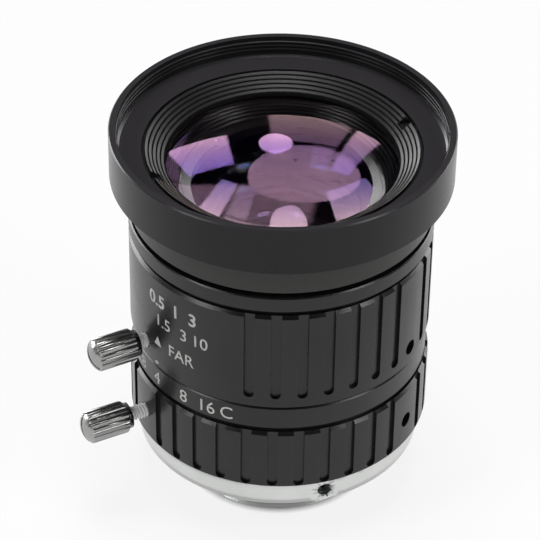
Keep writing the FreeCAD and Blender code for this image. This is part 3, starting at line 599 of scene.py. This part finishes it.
def join_marks(marks, name, body):
    """The marks of one ring as one piece that rides with it."""
    select_only(*marks)
    bpy.ops.object.join()
    piece = bpy.context.object
    piece.name = name
    coat(piece, mark_paint)
    select_only()
    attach(piece, body)


stop_marks = []
for stop, azimuth in STOPS.items():
    stop_marks.append(written_mark(stop, STOP_SIZE, azimuth, IRIS_BAND_Z, IRIS_BAND_R))
join_marks(stop_marks, "iris_stop_numbers", "iris_ring")
distance_marks = []
for distance, azimuth in UPPER_ROW.items():
    distance_marks.append(written_mark(distance, UPPER_ROW_SIZE, azimuth, UPPER_ROW_Z, FOCUS_LAND_R,
                                       UPPER_ROW_WEIGHT))
for distance, azimuth in LOWER_ROW.items():
    distance_marks.append(written_mark(distance, LOWER_ROW_SIZE, azimuth, LOWER_ROW_Z, FOCUS_LAND_R,
                                       LOWER_ROW_WEIGHT))
distance_marks.append(written_mark("FAR", FAR_SIZE, FAR_AZIMUTH, FAR_Z, FOCUS_LAND_R, FAR_WEIGHT))
distance_marks.append(shaped_mark(3, ARROW_WIDTH, ARROW_HEIGHT, ARROW_AZIMUTH, ARROW_Z, FOCUS_LAND_R))
distance_marks.append(shaped_mark(4, INDEX_WIDTH, INDEX_HEIGHT, INDEX_AZIMUTH, INDEX_Z, FOCUS_LAND_R))
join_marks(distance_marks, "focus_distance_marks", "focus_ring")

# Front barrel.
# Hood rim, skirt and sleeve are one piece of black anodised aluminium, with the filter thread cut into the
# rim's bore as a fine helix. The faces that look up are painted lighter, a painted top light, and the skirt
# is painted a lighter tone.
SKIRT_TOP = 42.7
SKIRT_FADE = 0.05
FILTER_ROOT_R = 21.14
FILTER_CREST_R = 20.86
FILTER_PITCH = 0.55
FILTER_FOOT_Z = 47.0
FILTER_TOP_Z = 49.25
FILTER_STEPS = 144
hood_black = anodised_finish("hood black anodised", (0.0105, 0.0100, 0.0107), (0.0125, 0.0120, 0.0127), 0.23,
                             (0.035, 0.035, 0.037), 1.29)
tree = hood_black.node_tree
facing = tree.nodes.new("ShaderNodeSeparateXYZ")
tree.links.new(tree.nodes.new("ShaderNodeTexCoord").outputs["Normal"], facing.inputs[0])
# Painted top light: faces whose normal points up get a lighter base colour, as if lit from above.
painted_top_light = add_range(tree, facing.outputs["Z"], 0.3, 0.9, 0.0, 1.0)
paint_over(hood_black, painted_top_light, (0.030, 0.028, 0.031))
x, y, z = object_place(tree)
on_skirt = add_range(tree, z, SKIRT_TOP * MM, (SKIRT_TOP + SKIRT_FADE) * MM, 1.0, 0.0)
paint_over(hood_black, on_skirt, (0.034, 0.033, 0.032))
coat(nodes["front_barrel"], hood_black)
filter_thread = helical_ridge("filter_thread", FILTER_ROOT_R, FILTER_CREST_R, FILTER_PITCH, FILTER_FOOT_Z,
                              FILTER_TOP_Z, FILTER_STEPS)
coat(filter_thread, hood_black)
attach(filter_thread, "optical_unit")

# Retaining ring and baffle.
# Both are cut into sharp rings and left matte, so that light that hits them isn't thrown onto the glass.
coat(nodes["front_retaining_ring"], matte_black)
coat(nodes["ridged_baffle"], matte_black)

# Inner barrel, cells and spacers.
# Black anodised inside parts that hold the glass, blacked so that they don't show.
for inner in ("inner_barrel", "inner_retaining_ring", "lens_spacer", "iris_base", "iris_cam_ring",
              "rear_cell", "rear_spacer", "rear_retaining_ring"):
    coat(nodes[inner], matte_black)

# Iris blades.
# Thin spring steel, blackened, with the faint sheen that sliding leaves.
BLADE_COUNT = 5
blade_steel = metal_finish("blackened blade steel", (0.09, 0.09, 0.095), (0.05, 0.05, 0.055), 0.33,
                           10.0, 0.001)
for number in range(1, BLADE_COUNT + 1):
    coat(nodes["iris_blade_%d" % number], blade_steel)

# Lens elements.
# Ground and polished optical glass. The two front ones have a thin anti-reflection film on each face, which
# colours what it mirrors. Film thicknesses are in nanometres.
FILM_INDEX = 1.27
FRONT_FILM = 138.0
SECOND_FILM = 146.0


def polished_glass(name, index, tint, film=0.0):
    """Clear polished glass. A film, where there is one, counts its thickness in the glass from inside."""
    made, tree, shader = new_material(name, tint, 0.0)
    shader.inputs["IOR"].default_value = index
    shader.inputs["Transmission Weight"].default_value = 1.0
    if film:
        shader.inputs["Thin Film IOR"].default_value = FILM_INDEX
        from_inside = tree.nodes.new("ShaderNodeNewGeometry").outputs["Backfacing"]
        thickness = add_range(tree, from_inside, 0.0, 1.0, film, film * index)
        tree.links.new(thickness, shader.inputs["Thin Film Thickness"])
    return made


front_glass = polished_glass("front glass, magenta film", 1.62, (0.97, 0.95, 0.97), FRONT_FILM)
second_glass = polished_glass("second glass, mauve film", 1.66, (0.95, 0.95, 0.95), SECOND_FILM)
third_glass = polished_glass("third glass", 1.72, (0.95, 0.96, 0.95))
coat(nodes["front_element"], front_glass)
coat(nodes["second_element"], second_glass)
coat(nodes["third_element"], third_glass)
for place in ("fourth", "fifth", "sixth"):
    coat(nodes[place + "_element"], polished_glass(place + " element glass", 1.60, (0.9, 0.9, 0.92)))

# Floor.
# A wide pale table top. The camera and mirror-like faces see it nearly white, and it keeps a soft shadow.
# Under the lens it stays unlit, as the mount ring closes it off there.
STAND_Z = -4.0
FLOOR_SIZE = 6.0
DARK_R = 12.5
OPEN_R = 13.5
select_only()
bpy.ops.mesh.primitive_plane_add(size=FLOOR_SIZE, location=(0, 0, STAND_Z * MM))
floor = bpy.context.object
floor.name = "floor"
apply_place()
table_top, tree, shader = new_material("pale table top", (0.86, 0.86, 0.86), 0.6)
glow = tree.nodes.new("ShaderNodeEmission")
glow.inputs["Color"].default_value = (1, 1, 1, 1)
glow.inputs["Strength"].default_value = 1.0
blend = tree.nodes.new("ShaderNodeMixShader")
light_path = tree.nodes.new("ShaderNodeLightPath")
x, y, z = object_place(tree)
looked_at = add_math(tree, "MAXIMUM", light_path.outputs["Is Camera Ray"],
                     light_path.outputs["Is Glossy Ray"])
in_the_open = add_range(tree, diagonal(tree, x, y), DARK_R * MM, OPEN_R * MM, 0.0, 0.8)
tree.links.new(add_math(tree, "MULTIPLY", looked_at, in_the_open), blend.inputs["Fac"])
tree.links.new(shader.outputs["BSDF"], blend.inputs[1])
tree.links.new(glow.outputs["Emission"], blend.inputs[2])
tree.links.new(blend.outputs["Shader"], tree.nodes["Material Output"].inputs["Surface"])
coat(floor, table_top)

# Studio light.
# White walls under a dark ceiling. Metal mirrors low panels at the sides, and glass mirrors the bright ones
# behind the table, one of them round. Soft lamps hang in front at both sides and above.

# Each room: the elevations between which it darkens upwards, and its brightness below and above them.
WHITE_WALLS = (32.0, 36.0, 0.95, 0.03)
ROOM_IN_METAL = (18.0, 30.0, 0.3, 0.02)
ROOM_IN_GLASS = (18.0, 30.0, 0.1, 0.02)
# Each panel: its two azimuths from the back, its two elevations, its brightness and, if it leans, how far.
SIDE_PANELS = ((-80.0, -20.0, 2.0, 20.0, 11.0), (20.0, 80.0, 2.0, 20.0, 6.0))
BACK_PANELS = ((-2.0, 10.5, 14.0, 31.5, 5.0), (6.0, 10.5, 31.5, 42.0, 4.0),
               (-17.0, -6.0, 26.0, 40.0, 24.0, 0.1), (11.0, 16.0, 20.0, 42.0, 14.0))
PANEL_FADE = 0.6
ROUND_AZIMUTH = -1.0
ROUND_ELEVATION = 32.4
ROUND_HALF_WIDTH = 3.2
ROUND_HALF_HEIGHT = 4.8
ROUND_STRENGTH = 33.0
ROUND_FADE_FROM = 0.94
world = bpy.data.worlds.new("studio room")
bpy.context.scene.world = world
world.use_nodes = True
tree = world.node_tree
room = tree.nodes["Background"]
room.inputs["Strength"].default_value = 1.0
split = tree.nodes.new("ShaderNodeSeparateXYZ")
tree.links.new(tree.nodes.new("ShaderNodeTexCoord").outputs["Generated"], split.inputs[0])
azimuth = add_math(tree, "DEGREES", add_math(tree, "ARCTAN2", split.outputs["X"], split.outputs["Y"]))
elevation = add_math(tree, "DEGREES", add_math(tree, "ARCSINE", split.outputs["Z"]))


def add_panel(first_azimuth, last_azimuth, low, high, strength, lean=0.0):
    """Brightness of a panel between two azimuths and two elevations, in degrees, fading at its edges."""
    leaning = add_math(tree, "ADD", azimuth, add_math(tree, "MULTIPLY", elevation, lean))
    inside = strength
    for value, first, last in ((leaning, first_azimuth, last_azimuth), (elevation, low, high)):
        after_first = add_range(tree, value, first, first + PANEL_FADE, 0, 1)
        before_last = add_range(tree, value, last - PANEL_FADE, last, 1, 0)
        inside = add_math(tree, "MULTIPLY", add_math(tree, "MULTIPLY", after_first, before_last), inside)
    return inside


def choose(mask, first, second):
    """The second value where the mask is 1, else the first."""
    return add_math(tree, "ADD", add_math(tree, "MULTIPLY", second, mask),
                    add_math(tree, "MULTIPLY", first, add_math(tree, "SUBTRACT", 1.0, mask)))


walls = add_range(tree, elevation, *WHITE_WALLS)
by_metal = add_range(tree, elevation, *ROOM_IN_METAL)
for panel in SIDE_PANELS:
    by_metal = add_math(tree, "ADD", by_metal, add_panel(*panel))
off_azimuth = add_math(tree, "DIVIDE", add_math(tree, "SUBTRACT", azimuth, ROUND_AZIMUTH), ROUND_HALF_WIDTH)
off_height = add_math(tree, "DIVIDE", add_math(tree, "SUBTRACT", elevation, ROUND_ELEVATION),
                      ROUND_HALF_HEIGHT)
round_panel = add_range(tree, diagonal(tree, off_azimuth, off_height), ROUND_FADE_FROM, 1.0,
                        ROUND_STRENGTH, 0.0)
by_glass = add_math(tree, "ADD", add_range(tree, elevation, *ROOM_IN_GLASS), round_panel)
for panel in BACK_PANELS:
    by_glass = add_math(tree, "ADD", by_glass, add_panel(*panel))
world_path = tree.nodes.new("ShaderNodeLightPath")
is_mirrored = add_math(tree, "MAXIMUM", world_path.outputs["Is Glossy Ray"],
                       world_path.outputs["Is Transmission Ray"])
mirrored = choose(world_path.outputs["Is Singular Ray"], by_metal, by_glass)
seen = choose(is_mirrored, walls, mirrored)
joined = tree.nodes.new("ShaderNodeCombineColor")
for channel in ("Red", "Green", "Blue"):
    tree.links.new(seen, joined.inputs[channel])
tree.links.new(mix_colours(tree, world_path.outputs["Is Camera Ray"], joined.outputs[0], (1.0, 1.0, 1.0)),
               room.inputs["Color"])


def soft_lamp(name, place, target, width, power):
    """A square soft lamp at a place that faces a target, in metres and watts."""
    lamp = bpy.data.lights.new(name, "AREA")
    lamp.shape = "SQUARE"
    lamp.size = width
    lamp.energy = power
    holder = bpy.data.objects.new(name, lamp)
    bpy.context.scene.collection.objects.link(holder)
    holder.location = place
    holder.rotation_euler = (Vector(target) - Vector(place)).to_track_quat("-Z", "Y").to_euler()
    return holder


soft_lamp("left soft lamp", (-0.65, -0.33, 0.66), (0, 0, 0.02), 0.26, 1.7)
soft_lamp("right soft lamp", (0.65, -0.33, 0.66), (0, 0, 0.02), 0.26, 1.7)
top_lamp = soft_lamp("top soft lamp", (0.0, 0.05, 1.0), (0, 0, 0.05), 0.4, 6.0)
# Seen through the glass, the top lamp would drown the inside of the lens.
top_lamp.visible_transmission = False

# Camera.
# It stands where the photograph was taken from, with the same narrow angle of view and slight roll.
CAMERA_PLACE = Vector((-1.364, -281.904, 242.698))
CAMERA_ELEVATION = 37.4613
CAMERA_ROLL = 0.83838
FOCAL_LENGTH = 181.03
SENSOR_WIDTH = 36.0
tilt = math.radians(CAMERA_ELEVATION)
roll = math.radians(CAMERA_ROLL)
sight = Vector((0, math.cos(tilt), -math.sin(tilt)))
level = Vector((1, 0, 0))
upward = Vector((0, math.sin(tilt), math.cos(tilt)))
across = level * math.cos(roll) + upward * math.sin(roll)
above = upward * math.cos(roll) - level * math.sin(roll)
camera_data = bpy.data.cameras.new("camera")
camera_data.lens = FOCAL_LENGTH
camera_data.sensor_width = SENSOR_WIDTH
camera_data.clip_start = 0.01
camera = bpy.data.objects.new("camera", camera_data)
bpy.context.scene.collection.objects.link(camera)
turn = Matrix((across, above, -sight)).transposed().to_4x4()
camera.matrix_world = Matrix.Translation(CAMERA_PLACE * MM) @ turn
bpy.context.scene.camera = camera

bpy.context.scene.view_settings.view_transform = "Standard"
